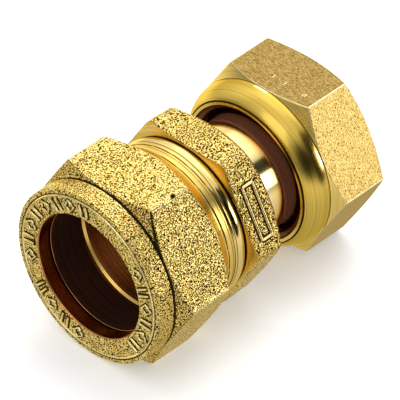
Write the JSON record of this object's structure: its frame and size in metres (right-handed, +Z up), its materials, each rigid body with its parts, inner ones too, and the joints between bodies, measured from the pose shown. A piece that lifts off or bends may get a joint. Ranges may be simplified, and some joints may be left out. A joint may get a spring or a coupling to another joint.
{
  "type": "union nut coupling",
  "caption": "Straight brass pipe connector: compression nut with olive for plain pipe at one end, loose swivelling union nut with sealing washer at the other.",
  "frame": {"origin": "on the pipe axis, at the stop where the end of an inserted pipe rests", "axes": "+X along the pipe axis towards the open end of the union nut, +Z up, square to the top flats of both nuts, as the part lies on a table"},
  "size_m": [0.0515, 0.0368, 0.032],
  "materials": {
    "compression_nut": "satin",
    "olive": "satin",
    "body": "satin",
    "union_nut": "satin",
    "sealing_washer": "matte"
  },
  "bodies": {
    "body": {"body": "body"},
    "olive": {"olive": "olive"},
    "compression_nut": {"compression_nut": "compression_nut"},
    "sealing_washer": {"sealing_washer": "sealing_washer"},
    "union_nut": {"union_nut": "union_nut"}
  },
  "joints": [
    {"name": "nut_travel", "type": "slide", "parent": "body", "child": "olive", "axis": [-1, 0, 0], "range_m": [0, 0.0075]},
    {"name": "nut_turn", "type": "hinge", "parent": "olive", "child": "compression_nut", "pos_m": [-0.013, 0, 0], "axis": [-1, 0, 0], "range_deg": [0, 1800]},
    {"name": "union_turn", "type": "hinge", "parent": "body", "child": "sealing_washer", "pos_m": [0.02024, 0, 0], "axis": [1, 0, 0], "continuous": true},
    {"name": "union_slide", "type": "slide", "parent": "sealing_washer", "child": "union_nut", "axis": [1, 0, 0], "range_m": [-0.0065, 0.0006]}
  ],
  "couplings": [
    {"joint": "nut_travel", "follows": "nut_turn", "m_per_rad": 0.00023873}
  ]
}
